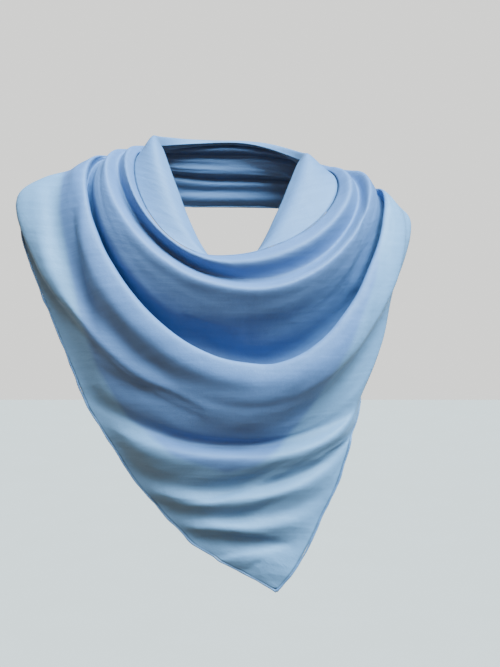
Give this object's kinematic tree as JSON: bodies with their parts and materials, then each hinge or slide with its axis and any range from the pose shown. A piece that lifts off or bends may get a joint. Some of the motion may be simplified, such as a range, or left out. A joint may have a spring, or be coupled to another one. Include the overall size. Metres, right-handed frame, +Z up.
{
  "type": "silk scarf",
  "caption": "Silk square folded to a triangle and worn as a draped cowl, its hemmed point hanging in front and its ends wrapped behind the neck.",
  "frame": {"origin": "middle of the neck opening, level with the tops of the collar roll on the shoulders", "axes": "+Z up, -Y towards the front where the point hangs, +X to the viewer's right"},
  "size_m": [0.4432, 0.2327, 0.4905],
  "materials": {
    "silk": "soft satin",
    "hem": "rolled and stitched satin"
  },
  "bodies": {
    "root": {"drape": "silk", "neck_wrap": "silk", "left_hem": "hem", "right_hem": "hem"}
  },
  "joints": []
}
